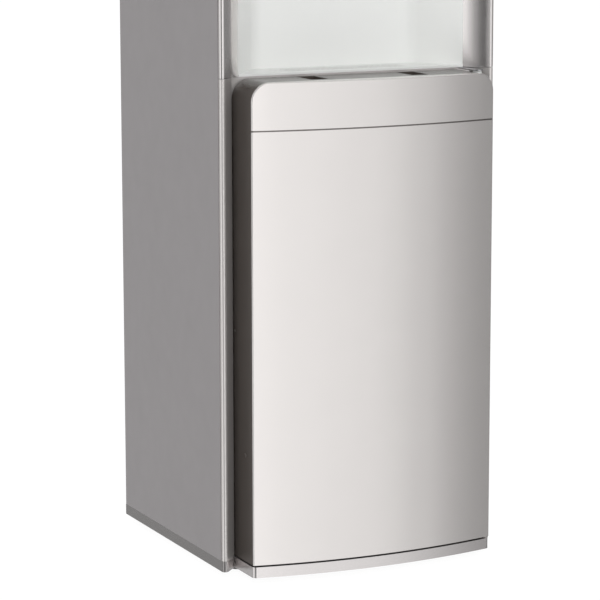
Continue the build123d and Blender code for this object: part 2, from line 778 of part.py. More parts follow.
def machine_shelf():
    half = INSIDE_X - FIT
    rear = INSIDE_BACK - FIT
    shelf = box(-half, half, STILE_RETURN + FIT, rear, SHELF_Z, SHELF_TOP)
    shelf += box(-OPENING_HALF + WALL + FIT, HINGE_X - BRACKET_W, RECESS + WALL + FIT,
                 STILE_RETURN + SHELF_NOSE, SHELF_Z, SHELF_TOP)
    shelf -= post(PROBE_X, PROBE_D, SHELF_Z - CUT, SHELF_TOP + CUT, HOSE_R + HOLE_CLEAR)
    return shelf + box(-half, half, rear - SHEET, rear, SHELF_Z, SHELF_Z + SHELF_LIP)


def tank_shelf():
    half = INSIDE_X - FIT
    rear = INSIDE_BACK - FIT
    shelf = box(-half, half, TANK_SHELF_D, rear, TANK_SHELF_Z, TANK_FLOOR)
    for d0 in (TANK_SHELF_D, rear - SHELF_T):
        shelf += box(-half, half, d0, d0 + SHELF_T, TANK_SHELF_Z - TANK_SHELF_LIP, TANK_SHELF_Z)
    for x, depth, radius in ((RISER_X, RISER_D, HOSE_R), (SUCTION_X, SUCTION_D, PIPE_R),
                             (LIQUID_X, LIQUID_D, PIPE_R)):
        shelf -= post(x, depth, TANK_SHELF_Z - CUT, TANK_FLOOR + CUT, radius + HOLE_CLEAR)
    return shelf


# ---- door pieces

def scoop(x, grow):
    pocket = box(x - SCOOP_W / 2 - grow, x + SCOOP_W / 2 + grow, SCOOP_FRONT - grow, SCOOP_REAR + grow,
                 DOOR_Z1 - SCOOP_H - grow, DOOR_Z1 + CUT)
    return fillet(pocket.edges().filter_by(Axis.Z), SCOOP_CORNER + grow)


def cup_rim(x, z1):
    grow = 2 * CUP_WALL
    return box(x - SCOOP_W / 2 - grow, x + SCOOP_W / 2 + grow, SCOOP_FRONT - grow, SCOOP_REAR + grow,
               DOOR_Z1 - CUP_WALL, z1)


def door_frame():
    rim = door_block() & box(-FAR, FAR, -DOOR_PROUD + SKIN_RETURN, FAR, 0, FAR)
    carrier = door_block(CARRIER_IN, CARRIER_IN)
    hollow = door_block(CARRIER_IN + CARRIER, CARRIER_IN + CARRIER, DOOR_REAR + CUT)
    frame = rim + carrier - hollow
    for z0, z1 in ((DOOR_Z0, DOOR_Z0 + BUSH_LEN), (DOOR_Z1 - BUSH_LEN, DOOR_Z1)):
        frame += post(HINGE_X, HINGE_DEPTH, z0, z1, BUSH_R + BUSH_BOSS) & door_block(CARRIER_IN)
        frame -= post(HINGE_X, HINGE_DEPTH, z0 - CUT, z1 + CUT, BUSH_R)
    for x in (-SCOOP_X, SCOOP_X):
        frame -= scoop(x, CUP_WALL + PIN_CLEAR)
        frame -= cup_rim(x, DOOR_Z1 + CUT)
    return frame


def finger_cups():
    cups = []
    for x in (-SCOOP_X, SCOOP_X):
        shell = scoop(x, CUP_WALL) & box(-FAR, FAR, -FAR, FAR, 0, DOOR_Z1 - CUP_WALL)
        cups.append(shell + cup_rim(x, DOOR_Z1) - scoop(x, 0))
    return Compound(children=cups)


def door_shell(depth):
    """Skin of the door's front, starting at the given depth under its surface."""
    keep = box(-FAR, FAR, -FAR, -DOOR_PROUD + SKIN_RETURN - SKIN_GAP, 0, FAR)
    outer = door_block(depth, depth, edge=EDGE_R - depth)
    return (outer & keep) - door_block(SKIN, SKIN)


def door_front_skin():
    return door_shell(0) & box(-FAR, FAR, -FAR, FAR, 0, BAND_Z - BAND_GROOVE / 2)


def door_top_band():
    """Upper band of the front; its tongue is the floor of the groove between the two."""
    band = door_shell(0) & box(-FAR, FAR, -FAR, FAR, BAND_Z + BAND_GROOVE / 2, FAR)
    tongue = box(-FAR, FAR, -FAR, FAR, BAND_Z - BAND_GROOVE / 2, BAND_Z + BAND_GROOVE / 2 + CUT)
    return band + (door_shell(GROOVE_DEPTH) & tongue)


def door_inner_panel():
    inset = CARRIER_IN + CARRIER + FIT / 2
    front = DOOR_REAR - INNER_PANEL
    top = DOOR_Z1 - SCOOP_H - 2 * CUP_WALL - FIT
    panel = bowed(DOOR_Z0 + inset, top, DOOR_HALF - inset, DOOR_REAR, top_r=INNER_CORNER)
    panel &= box(-FAR, FAR, front, DOOR_REAR, 0, FAR)
    half = DOOR_HALF - RIB_IN
    for rib in range(1, int((BAND_Z - DOOR_Z0) / RIB_PITCH)):
        z = DOOR_Z0 + rib * RIB_PITCH
        panel += box(-half, half, front - RIB_DEPTH, front, z, z + RIB_T)
    return panel


def hinge_bushes():
    bore = post(HINGE_X, HINGE_DEPTH, BASE_Z, DOOR_Z1 + CUT, PIN_R + PIN_CLEAR)
    low = post(HINGE_X, HINGE_DEPTH, DOOR_Z0, DOOR_Z0 + BUSH_LEN, BUSH_R)
    low += post(HINGE_X, HINGE_DEPTH, BASE_Z + BUSH_LIFT, DOOR_Z0, BUSH_FLANGE_R)
    high = post(HINGE_X, HINGE_DEPTH, DOOR_Z1 - BUSH_LEN, DOOR_Z1, BUSH_R)
    return Compound(children=[low - bore, high - bore])


def lower_hinge_pin():
    return post(HINGE_X, HINGE_DEPTH, FOOT_H + BASE_TOP, DOOR_Z0 + BUSH_LEN - PIN_SHORT, PIN_R)


def upper_hinge_bracket():
    top = SEAM_Z - FIT / 2
    bottom = SEAM_Z - BRACKET_T
    arm = block(HINGE_X, (HINGE_DEPTH + BRACKET_BACK) / 2, (top + bottom) / 2, BRACKET_W,
                BRACKET_BACK - HINGE_DEPTH, top - bottom)
    eye = post(HINGE_X, HINGE_DEPTH, bottom, top, BRACKET_W / 2)
    return arm + eye + post(HINGE_X, HINGE_DEPTH, DOOR_Z1 - BUSH_LEN + PIN_SHORT, top, PIN_R)


def catch_magnet():
    half = MAGNET_W / 2
    nose = half - MAGNET_STEP
    bottom = SHELF_Z - MAGNET_H
    case = box(MAGNET_X - half, MAGNET_X + half, STILE_RETURN, STILE_RETURN + MAGNET_L, bottom, SHELF_Z)
    return case + box(MAGNET_X - nose, MAGNET_X + nose, DOOR_REAR + STRIKE_T + FIT, STILE_RETURN, bottom,
                      SHELF_Z - WALL - FIT)


def catch_strike():
    half = MAGNET_W / 2 - STRIKE_STEP
    return box(MAGNET_X - half, MAGNET_X + half, DOOR_REAR, DOOR_REAR + STRIKE_T, SHELF_Z - MAGNET_H,
               SHELF_Z - WALL - FIT)


# ---- alcove

def alcove_curve(grow):
    """Half of the alcove's plan, from mouth to middle, moved outwards by grow; with its first depth."""
    first = FLARE_DEPTH + grow / math.cos(SPLAY)
    bend_x = FLARE_X - FLARE_RUN * math.cos(SPLAY) - BACK_R * math.sin(SPLAY)
    bend_depth = ALCOVE_BACK - BACK_R

    def on_bend(turn):
        return bend_x + (BACK_R + grow) * math.sin(turn), back(bend_depth + (BACK_R + grow) * math.cos(turn))

    curves = [Line((FLARE_X, back(first)), on_bend(SPLAY)),
              ThreePointArc(on_bend(SPLAY), on_bend(SPLAY / 2), on_bend(0)),
              Line(on_bend(0), (0, back(ALCOVE_BACK + grow)))]
    return curves, first


def alcove_face(grow, front):
    curves, first = alcove_curve(grow)
    half = [e for c in curves for e in c.edges()]
    edges = half + [e.mirror(Plane.YZ) for e in half]
    for x in (-FLARE_X, FLARE_X):
        edges += list(Line((x, back(first)), (x, back(front))).edges())
    edges += list(Line((FLARE_X, back(front)), (-FLARE_X, back(front))).edges())
    return make_face(edges)


def drip_well():
    """Well for the tray in the alcove's floor, as (outside, inside)."""
    x, depth = TRAY_W / 2 + TRAY_CLEAR, (TRAY_FRONT + TRAY_REAR) / 2
    reach = TRAY_L / 2 + TRAY_CLEAR
    outside = box(-x - WELL_WALL, x + WELL_WALL, depth - reach - WELL_WALL, depth + reach + WELL_WALL,
                  TRAY_Z - WELL_WALL, FLOOR_Z)
    return outside, box(-x, x, depth - reach, depth + reach, TRAY_Z, FLOOR_Z + CUT)


def alcove_liner():
    front = -BACK_R
    height = ALCOVE_SHARE * (COVER_Z - SEAM_Z) + WALL
    plan = alcove_face(WALL, front)
    wall = extrude(Pos(0, 0, SEAM_Z) * plan, amount=height, dir=(0, 0, 1))
    wall -= extrude(Pos(0, 0, SEAM_Z - CUT) * alcove_face(0, front), amount=height + 2 * CUT, dir=(0, 0, 1))
    plates = [extrude(Pos(0, 0, z) * plan, amount=WALL, dir=(0, 0, 1)) for z in (SEAM_Z, CEILING_Z)]
    keep = box(-FAR, FAR, RECESS, FAR, 0, FAR)
    outside, inside = drip_well()
    liner = wall + (plates[0] & keep) + (plates[1] & keep) + outside - inside
    for x in (-NOZZLE_X, 0, NOZZLE_X):
        liner -= post(x, NOZZLE_D, CEILING_Z - CUT, CEILING_Z + WALL + CUT, HOSE_R + PIN_CLEAR)
    return liner - block(0, LIGHT_D, CEILING_Z, LIGHT_W + 2 * FIT, LIGHT_L + 2 * FIT, 2 * (WALL + CUT))


def alcove_light():
    z0, z1 = CEILING_Z - LIGHT_OUT, CEILING_Z + WALL
    lens = block(0, LIGHT_D, (z0 + z1 + LIGHT_T) / 2, LIGHT_W, LIGHT_L, z1 + LIGHT_T - z0)
    wide, deep = LIGHT_W + 2 * LIGHT_FLANGE, LIGHT_L + 2 * LIGHT_FLANGE
    return lens + block(0, LIGHT_D, z1 + LIGHT_T / 2, wide, deep, LIGHT_T)


def tray_plan(inset, z0, z1):
    half = TRAY_W / 2 - inset
    solid = box(-half, half, TRAY_FRONT + inset, TRAY_REAR - inset, z0, z1)
    return fillet(solid.edges().filter_by(Axis.Z), TRAY_CORNER - inset)


def drip_tray():
    top = FLOOR_Z - GRILLE_T
    bottom = TRAY_Z + TRAY_SEAT
    return tray_plan(0, bottom, top) - tray_plan(TRAY_WALL, bottom + TRAY_WALL, top + CUT)


def drip_grille():
    z0 = FLOOR_Z - GRILLE_T + TRAY_SEAT
    count = int((TRAY_W / 2 - GRILLE_END) / SLOT_PITCH)
    middle = (TRAY_FRONT + TRAY_REAR) / 2
    slots = [block(i * SLOT_PITCH, middle, z0, SLOT_W, TRAY_L - 2 * GRILLE_RIM, 3 * GRILLE_T)
             for i in range(-count, count + 1)]
    return tray_plan(0, z0, z0 + GRILLE_T) - Compound(children=slots)


def nozzle(x):
    tip_z = CEILING_Z - NOZZLE_H
    barrel = NOZZLE_R - NOZZLE_STEP
    body = post(x, NOZZLE_D, tip_z, CEILING_Z - COLLAR_H, barrel)
    body += Pos(x, back(NOZZLE_D), tip_z - TIP_H / 2) * Cone(barrel - NOZZLE_STEP, barrel, TIP_H)
    body += post(x, NOZZLE_D, CEILING_Z - COLLAR_H, CEILING_Z, NOZZLE_R)
    body += post(x, NOZZLE_D, CEILING_Z, NOZZLE_TOP, HOSE_R)
    return body - post(x, NOZZLE_D, tip_z - TIP_H - CUT, NOZZLE_TOP + CUT, HOSE_BORE)


# ---- controls

def fascia_block(inset, rear, edge):
    solid = bowed(FASCIA_Z + inset, COVER_Z - inset, DOOR_HALF - inset, rear, inset, 0, FASCIA_CORNER - inset)
    return fillet(front_edges(solid, below=COVER_Z - inset - FRONT_EDGE), edge)


def insert_block(grow, setback, rear=0.0):
    half_h = INSERT_H / 2 + grow
    corner = INSERT_CORNER + grow
    return bowed(INSERT_Z - half_h, INSERT_Z + half_h, INSERT_HALF + grow, rear, setback, corner, corner)


def button_window(x, clear):
    front, rear = BOW_FRONT - FRONT_EDGE, BOARD_FRONT - CUT
    window = block(x, (front + rear) / 2, BUTTON_Z, BUTTON_W + 2 * clear, rear - front, BUTTON_H + 2 * clear)
    return fillet(window.edges().filter_by(Axis.Y), BUTTON_CORNER + clear)


def lock_slot():
    half_h = LOCK_H / 2 + BUTTON_CLEAR
    half_w = LOCK_W / 2 + BUTTON_CLEAR
    return box(BUTTON_X - half_w, BUTTON_X + half_w + LOCK_TRAVEL, BOW_FRONT - FRONT_EDGE, BOARD_FRONT - CUT,
               LOCK_Z - half_h, LOCK_Z + half_h)


def with_openings(panel):
    """Cuts the holes for the buttons, their lamps and the lock."""
    for x in BUTTONS:
        panel -= button_window(x, BUTTON_CLEAR)
        panel -= peg(x, BOW_FRONT - FRONT_EDGE, BOARD_FRONT, LENS_Z, LENS_R + LENS_CLEAR)
    return panel - lock_slot()


def control_fascia():
    edge = FRONT_EDGE - WALL
    fascia = fascia_block(0, RECESS - FIT, FRONT_EDGE) - fascia_block(WALL, RECESS + CUT, edge)
    fascia -= insert_block(INSERT_CLEAR, 0) - insert_block(INSERT_T, INSERT_T, CUT)
    pad = insert_block(PAD_GROW, INSERT_T) & fascia_block(WALL - INSERT_CLEAR, RECESS, edge)
    fascia = with_openings(fascia + pad - insert_block(PAD_GROW + CUT, INSERT_T + WALL, CUT))
    for x in (BOSS_IN - INSERT_HALF, INSERT_HALF - BOSS_IN):
        for z in (INSERT_Z - BOSS_UP, INSERT_Z + BOSS_UP):
            fascia += peg(x, bow_depth(x) + INSERT_T + WALL - CUT, BOARD_FRONT, z, BOSS_R)
    return fascia


def fascia_insert():
    return with_openings(insert_block(0, 0) - insert_block(CUT, INSERT_T, CUT))


def button(x):
    front = bow_depth(x) - BUTTON_OUT
    cap = button_window(x, 0) & box(-FAR, FAR, front, KEY_BACK - BUTTON_EDGE, 0, FAR)
    cap = fillet(cap.faces().sort_by(Axis.Y)[0].edges(), BUTTON_EDGE)
    face = front + BUTTON_FACE
    hollow = block(x, face - BOW_FRONT, BUTTON_Z, BUTTON_W - 2 * BUTTON_WALL, -2 * BOW_FRONT,
                   BUTTON_H - 2 * BUTTON_WALL)
    return cap - hollow + peg(x, face - CUT, KEY_BACK - FIT, BUTTON_Z, KEY_STEM_R)


def child_lock_slider():
    front = bow_depth(BUTTON_X) - LOCK_OUT
    rear = BOARD_FRONT - LOCK_OUT
    knob = block(BUTTON_X, (front + rear) / 2, LOCK_Z, LOCK_W, rear - front, LOCK_H)
    for ridge in (-1, 0, 1):
        knob -= block(BUTTON_X + ridge * RIDGE_PITCH, front, LOCK_Z, RIDGE_W, 2 * RIDGE_DEEP, 2 * LOCK_H)
    return knob


def indicator_lenses():
    lenses = [peg(x, bow_depth(x) - LENS_OUT, BOARD_FRONT, LENS_Z, LENS_R) for x in BUTTONS]
    return Compound(children=lenses)


def control_board():
    half_w, half_h = INSERT_HALF - BOARD_IN, INSERT_H / 2 - BOARD_EDGE
    rear = BOARD_FRONT + BOARD_T
    board = box(-half_w, half_w, BOARD_FRONT, rear, INSERT_Z - half_h, INSERT_Z + half_h)
    for x in BUTTONS:
        board += block(x, rear + BOARD_KEY_T / 2, BUTTON_Z, BOARD_KEY, BOARD_KEY_T, BOARD_KEY)
    return board + block(0, rear + CHIP_T / 2, INSERT_Z + CHIP_UP, CHIP_W, CHIP_T, CHIP_H)


# ---- top

def top_cover():
    outer = extrude(Pos(0, 0, COVER_Z) * cabinet_plan(), amount=COVER_H, dir=(0, 0, 1))
    outer += bowed_lip(COVER_Z, TOTAL_H)
    outer = fillet(outer.faces().sort_by(Axis.Z)[-1].edges(), COVER_EDGE)
    z1 = TOTAL_H - WALL
    inner = box(-HALF_W + WALL, HALF_W - WALL, STILE_RETURN, BODY_D - WALL, COVER_Z - CUT, z1)
    inner += bowed(COVER_Z - CUT, z1, DOOR_HALF - 2 * WALL, STILE_RETURN + CUT, 2 * WALL)
    return outer - inner


# ---- cooling, heating and water

def compressor():
    shell = post(COMP_X, COMP_D, COMP_Z + COMP_LIFT, COMP_TOP, COMP_R)
    shell = fillet(shell.edges().filter_by(GeomType.CIRCLE), COMP_DOME)
    feet = block(COMP_X, COMP_D, COMP_Z + COMP_FEET_T / 2, COMP_FEET_W, COMP_FEET_D, COMP_FEET_T)
    feet = fillet(feet.edges().filter_by(Axis.Z), COMP_FEET_CORNER)
    relay_x = COMP_X + COMP_R - RELAY_SUNK
    relay = box(relay_x, COMP_X + COMP_R + RELAY_OUT, COMP_D - RELAY_W / 2, COMP_D + RELAY_W / 2,
                COMP_Z + RELAY_Z, COMP_Z + RELAY_Z + RELAY_H)
    weld = post(COMP_X, COMP_D, COMP_Z + WELD_Z, COMP_Z + WELD_Z + WELD_H, COMP_R + WELD_OUT)
    unit = shell + feet + relay + weld
    for x, depth in GROMMETS:
        unit -= post(x, depth, COMP_Z - CUT, COMP_Z + COMP_FEET_T + CUT, GROMMET_NECK + PIN_CLEAR)
    return unit


def compressor_grommets():
    grommets = []
    lip = COMP_Z + COMP_FEET_T
    for x, depth in GROMMETS:
        body = post(x, depth, SHELF_TOP, COMP_Z, GROMMET_R)
        body += post(x, depth, COMP_Z, lip, GROMMET_NECK)
        body += post(x, depth, lip, lip + GROMMET_LIP_H, GROMMET_LIP)
        grommets.append(body - post(x, depth, SHELF_TOP - CUT, lip + GROMMET_LIP_H + CUT, GROMMET_BORE))
    return Compound(children=grommets)


def tank(x, depth, z0, radius, height):
    shell = post(x, depth, z0, z0 + height, radius)
    shell = fillet(shell.edges().filter_by(GeomType.CIRCLE), TANK_EDGE)
    hollow = post(x, depth, z0 + TANK_WALL, z0 + height - TANK_WALL, radius - TANK_WALL)
    return shell - fillet(hollow.edges().filter_by(GeomType.CIRCLE), TANK_EDGE - TANK_WALL)


def front_spigot(x, depth, radius, end, z):
    """Spigot towards the front from a tank's wall to the depth end, as (outside, bore)."""
    wall = depth - radius
    return peg(x, end, wall + JOIN, z, HOSE_R), peg(x, end - CUT, wall + 2 * TANK_WALL, z, HOSE_BORE)


def top_spigot(x, depth, z, end):
    return post(x, depth, z - JOIN, end, HOSE_R), post(x, depth, z - 2 * TANK_WALL, end + CUT, HOSE_BORE)


def cold_tank():
    """Cold tank with the evaporator coil round it."""
    shell = tank(COLD_X, COLD_D, COLD_Z, COLD_R, COLD_H)
    for turn in range(COIL_TURNS):
        z = COLD_Z + (COIL_START + turn * COIL_STEP) * COLD_H
        shell += Pos(COLD_X, back(COLD_D), z) * Torus(COLD_R + PIPE_R - COIL_SUNK, PIPE_R)
    spigots = [front_spigot(COLD_X, COLD_D, COLD_R, COLD_D - FOAM_R, z) for z in (COLD_PORT_Z, ROOM_PORT_Z)]
    spigots.append(top_spigot(COLD_X, COLD_D, COLD_TOP, COLD_TOP + FOAM))
    for outside, bore in spigots:
        shell = shell + outside - bore
    return shell


def tank_insulation():
    foam = post(COLD_X, COLD_D, TANK_FLOOR, COLD_TOP + FOAM, FOAM_R)
    foam -= post(COLD_X, COLD_D, COLD_Z, COLD_TOP, COLD_R + 2 * PIPE_R + FIT)
    for z in (COLD_PORT_Z, ROOM_PORT_Z):
        foam -= peg(COLD_X, COLD_D - FOAM_R - CUT, COLD_D - COLD_R, z, HOSE_R + FIT)
    foam -= post(COLD_X, COLD_D, COLD_TOP - CUT, COLD_TOP + FOAM + CUT, HOSE_R + FIT)
    groove = post(COLD_X, COLD_D, COLD_TOP - FOAM_GROOVE, COLD_TOP, FOAM_R + CUT)
    groove -= post(COLD_X, COLD_D, COLD_TOP - 2 * FOAM_GROOVE, COLD_TOP + CUT, FOAM_R - FOAM_GROOVE_DEEP)
    return foam - groove


def hot_tank():
    shell = tank(HOT_X, HOT_D, HOT_Z, HOT_R, HOT_H)
    rear = HOT_D + HOT_R
    spigots = [front_spigot(HOT_X, HOT_D, HOT_R, HOT_FRONT, HOT_PORT_Z),
               top_spigot(HOT_X, HOT_D, HOT_TOP, HOT_TOP + JACKET + HOT_STUB),
               (peg(HOT_X, rear - JOIN, PANEL_BACK + DRAIN_OUT, DRAIN_Z, HOSE_R),
                peg(HOT_X, rear - 2 * TANK_WALL, PANEL_BACK + DRAIN_OUT + CUT, DRAIN_Z, HOSE_BORE))]
    for outside, bore in spigots:
        shell = shell + outside - bore
    return shell


def hot_tank_jacket():
    outer = HOT_R + JACKET
    jacket = post(HOT_X, HOT_D, TANK_FLOOR, HOT_TOP + JACKET, outer)
    jacket -= post(HOT_X, HOT_D, HOT_Z, HOT_TOP, HOT_R + FIT)
    jacket -= peg(HOT_X, HOT_D - outer - CUT, HOT_D - HOT_R + CUT, HOT_PORT_Z, HOSE_R + FIT)
    jacket -= peg(HOT_X, HOT_D + HOT_R - CUT, HOT_D + outer + CUT, DRAIN_Z, HOSE_R + FIT)
    return jacket - post(HOT_X, HOT_D, HOT_TOP - CUT, HOT_TOP + JACKET + CUT, HOSE_R + FIT)


def drain_cap():
    front = PANEL_BACK + CAP_OUT
    rear = front + DRAIN_CAP_LEN
    radius = HOSE_R + DRAIN_CAP_WALL
    cap = peg(HOT_X, front, rear, DRAIN_Z, radius)
    cap = fillet(cap.edges().filter_by(GeomType.CIRCLE).sort_by(Axis.Y)[-1], DRAIN_CAP_EDGE)
    for turn in range(0, 360, GRIP_STEP):
        angle = math.radians(turn)
        x = HOT_X + (radius + GRIP_OUT) * math.cos(angle)
        z = DRAIN_Z + (radius + GRIP_OUT) * math.sin(angle)
        cap -= peg(x, front - CUT, rear + CUT, z, GRIP_R)
    return cap - peg(HOT_X, front - CUT, PANEL_BACK + DRAIN_OUT + DRAIN_CAP_END, DRAIN_Z, HOSE_R + PIN_CLEAR)


def water_pump():
    base_z = SHELF_TOP + PUMP_BASE_T
    z = base_z + PUMP_AXIS
    pump = block(PUMP_X, PUMP_D, SHELF_TOP + PUMP_BASE_T / 2, PUMP_BASE_W, PUMP_BASE_D, PUMP_BASE_T)
    pump += Pos(PUMP_X + MOTOR_X, back(PUMP_D), z) * Rot(0, 90, 0) * Cylinder(MOTOR_R, MOTOR_L)
    pump += block(PUMP_X - HEAD_X, PUMP_D, z, HEAD_W, HEAD_D, 2 * PUMP_AXIS)
    pump += block(PUMP_X + SADDLE_X, PUMP_D, (base_z + z - SADDLE_DROP) / 2, SADDLE_W, SADDLE_D,
                  PUMP_AXIS - SADDLE_DROP)
    for depth in (PUMP_D - PORT_D, PUMP_D + PORT_D):
        pump += post(PUMP_PORT_X, depth, z, PUMP_PORT_Z, HOSE_R)
    return pump


def delivery_hoses():
    """Probe to pump, and pump to cold tank."""
    inlet_d, outlet_d = PUMP_D + PORT_D, PUMP_D - PORT_D
    intake = pipe([(PROBE_X, PROBE_D, SHELF_Z), (PROBE_X, PROBE_D, SHELF_TOP + INTAKE_RISE),
                   (PROBE_X + INTAKE_X, PROBE_D + INTAKE_D, SHELF_TOP + INTAKE_ARCH),
                   (PUMP_PORT_X, PROBE_D - INTAKE_AHEAD, SHELF_TOP + INTAKE_FALL),
                   (PUMP_PORT_X, inlet_d, SHELF_TOP + INTAKE_ENTRY), (PUMP_PORT_X, inlet_d, PUMP_PORT_Z)],
                  [INTAKE_BEND] * 4, HOSE_R, HOSE_BORE)
    top = COLD_TOP + FOAM
    arch = top + RISER_TOP
    riser = pipe([(PUMP_PORT_X, outlet_d, PUMP_PORT_Z), (PUMP_PORT_X, outlet_d, PUMP_PORT_Z + RISER_START),
                  (RISER_X, RISER_D, PUMP_PORT_Z + RISER_ENTRY), (RISER_X, RISER_D, arch),
                  (COLD_X, COLD_D, arch), (COLD_X, COLD_D, top)],
                 [RISER_LOW_BEND, RISER_LOW_BEND, RISER_BEND, RISER_BEND], HOSE_R, HOSE_BORE)
    return Compound(children=[intake, riser])


def nozzle_hoses():
    hoses = []
    for x, depth, z, end_x in ((COLD_X, COLD_D - FOAM_R, COLD_PORT_Z, -NOZZLE_X),
                               (COLD_X, COLD_D - FOAM_R, ROOM_PORT_Z, 0),
                               (HOT_X, HOT_FRONT, HOT_PORT_Z, NOZZLE_X)):
        turn = NOZZLE_D + (depth - NOZZLE_D) * HOSE_TURN
        aside = [(x, turn, z)] if abs(end_x - x) > FIT else []
        hoses.append(pipe([(x, depth, z), *aside, (end_x, NOZZLE_D, z), (end_x, NOZZLE_D, NOZZLE_TOP)],
                          NOZZLE_BEND, HOSE_R, HOSE_BORE))
    return Compound(children=hoses)


def towards(x, depth, centre_x, centre_depth, radius):
    """Point just outside a round shell, on the line from (x, depth) to its centre."""
    reach = math.hypot(x - centre_x, depth - centre_depth)
    share = (radius + FIT) / reach
    return centre_x + (x - centre_x) * share, centre_depth + (depth - centre_depth) * share


def refrigerant_pipes():
    """Discharge from the compressor, liquid line with its drier, and suction from the cold tank."""
    x0, d0 = COMP_X + PIPE_OFF, COMP_D - PIPE_OFF
    side = PIPE_SIDE * PIPE_TIGHT
    discharge = pipe([(x0, d0, COMP_TOP), (x0, d0, COMP_TOP + PIPE_TOP),
                      (PIPE_MID_X, COMP_D + PIPE_MID_D, COMP_TOP + PIPE_TOP),
                      (DISCHARGE_X, COMP_D + PIPE_FAR_D, PIPE_EXIT_Z), (DISCHARGE_X, TUBE_DEPTH, PIPE_EXIT_Z),
                      (DISCHARGE_X, TUBE_DEPTH, COND_TOP), (COND_X, TUBE_DEPTH, COND_TOP)],
                     [PIPE_BEND, PIPE_WIDE_BEND, PIPE_BEND, side, side], PIPE_R, PIPE_BORE)
    liquid = pipe([(-COND_X, TUBE_DEPTH, COND_Z0), (LIQUID_X, TUBE_DEPTH, COND_Z0),
                   (LIQUID_X, TUBE_DEPTH, PIPE_EXIT_Z), (LIQUID_X, LIQUID_D, PIPE_EXIT_Z),
                   (LIQUID_X, LIQUID_D, DRIER_Z0)], [side, side, side], PIPE_R, PIPE_BORE)
    drier = post(LIQUID_X, LIQUID_D, DRIER_Z0, DRIER_Z1, DRIER_R)
    drier = chamfer(drier.edges().filter_by(GeomType.CIRCLE), DRIER_TAPER)
    x, depth = towards(LIQUID_X, LIQUID_D, COLD_X, COLD_D, FOAM_R)
    feed = pipe([(LIQUID_X, LIQUID_D, DRIER_Z1), (LIQUID_X, LIQUID_D, COLD_PORT_Z), (x, depth, COLD_PORT_Z)],
                [PIPE_BEND], PIPE_R, PIPE_BORE)
    x, depth = towards(SUCTION_X, SUCTION_D, COLD_X, COLD_D, FOAM_R)
    high = COLD_PORT_Z + SUCTION_UP
    low = COMP_Z + SUCTION_SHARE * COMP_H
    low_x, low_depth = towards(SUCTION_X, SUCTION_D, COMP_X, COMP_D, COMP_R)
    suction = pipe([(x, depth, high), (SUCTION_X, SUCTION_D, high), (SUCTION_X, SUCTION_D, low),
                    (low_x, low_depth, low)], [PIPE_BEND, PIPE_BEND], PIPE_R, PIPE_BORE)
    return Compound(children=[discharge, liquid, drier, feed, suction])


def condenser():
    """Tube bent to and fro with its wires across both sides."""
    points = []
    for run in range(COND_RUNS):
        ends = [-COND_X, COND_X] if run % 2 == 0 else [COND_X, -COND_X]
        points += [(x, TUBE_DEPTH, COND_Z0 + run * COND_PITCH) for x in ends]
    parts = [pipe(points, (COND_PITCH - COND_STRAIGHT) / 2, PIPE_R, PIPE_BORE)]
    count = int((COND_X - COND_PITCH / 2) / WIRE_PITCH)
    for depth in (TUBE_DEPTH - WIRE_OFF, TUBE_DEPTH + WIRE_OFF):
        for i in range(-count, count + 1):
            parts.append(post(i * WIRE_PITCH, depth, COND_Z0 - WIRE_OVER, COND_TOP + WIRE_OVER, WIRE_R))
    return Compound(children=parts)


# ---- bottle probe

def probe_rod():
    rod = post(PROBE_X, PROBE_D, PROBE_Z, CAP_Z, PROBE_R)
    rod -= post(PROBE_X, PROBE_D, PROBE_Z - CUT, CAP_Z + CUT, HOSE_BORE)
    for turn in (0, 90):
        slot = Box(PROBE_SLOT_W, 3 * PROBE_R, PROBE_SLOT_H)
        rod -= Pos(PROBE_X, back(PROBE_D), PROBE_Z + PROBE_SLOT_UP) * Rot(0, 0, turn) * slot
    return rod


def probe_cap():
    top = CAP_Z + CAP_H
    cap = post(PROBE_X, PROBE_D, CAP_Z, top, CAP_R)
    cap = fillet(cap.edges().filter_by(GeomType.CIRCLE).sort_by(Axis.Z)[-1], CAP_EDGE)
    cap += post(PROBE_X, PROBE_D, top - JOIN, HOSE_Z, HOSE_R + NECK_WALL)
    return cap - post(PROBE_X, PROBE_D, CAP_Z - CUT, HOSE_Z + CUT, HOSE_BORE)


def probe_hose():
    bore = post(PROBE_X, PROBE_D, CAP_Z, SHELF_Z + CUT, HOSE_BORE)
    return post(PROBE_X, PROBE_D, HOSE_Z, SHELF_Z, HOSE_R) - bore


def probe_hook():
    """Fork on the rear panel that carries the cap from below."""
    z1 = CAP_Z - FIT
    half = HOOK_W / 2
    gap = PROBE_R + HOOK_CLEAR
    arm = box(PROBE_X - half, PROBE_X + half, PROBE_D - HOOK_FRONT, INSIDE_BACK, z1 - HOOK_T, z1)
    arm -= post(PROBE_X, PROBE_D, z1 - HOOK_T - CUT, z1 + CUT, gap)
    arm -= box(PROBE_X - gap, PROBE_X + gap, PROBE_D - 2 * HOOK_FRONT, PROBE_D, z1 - HOOK_T - CUT, z1 + CUT)
    return arm + box(PROBE_X - half, PROBE_X + half, BODY_D - HOOK_PLATE_T, BODY_D, z1 - HOOK_PLATE_H, z1)


# ---- rear fittings

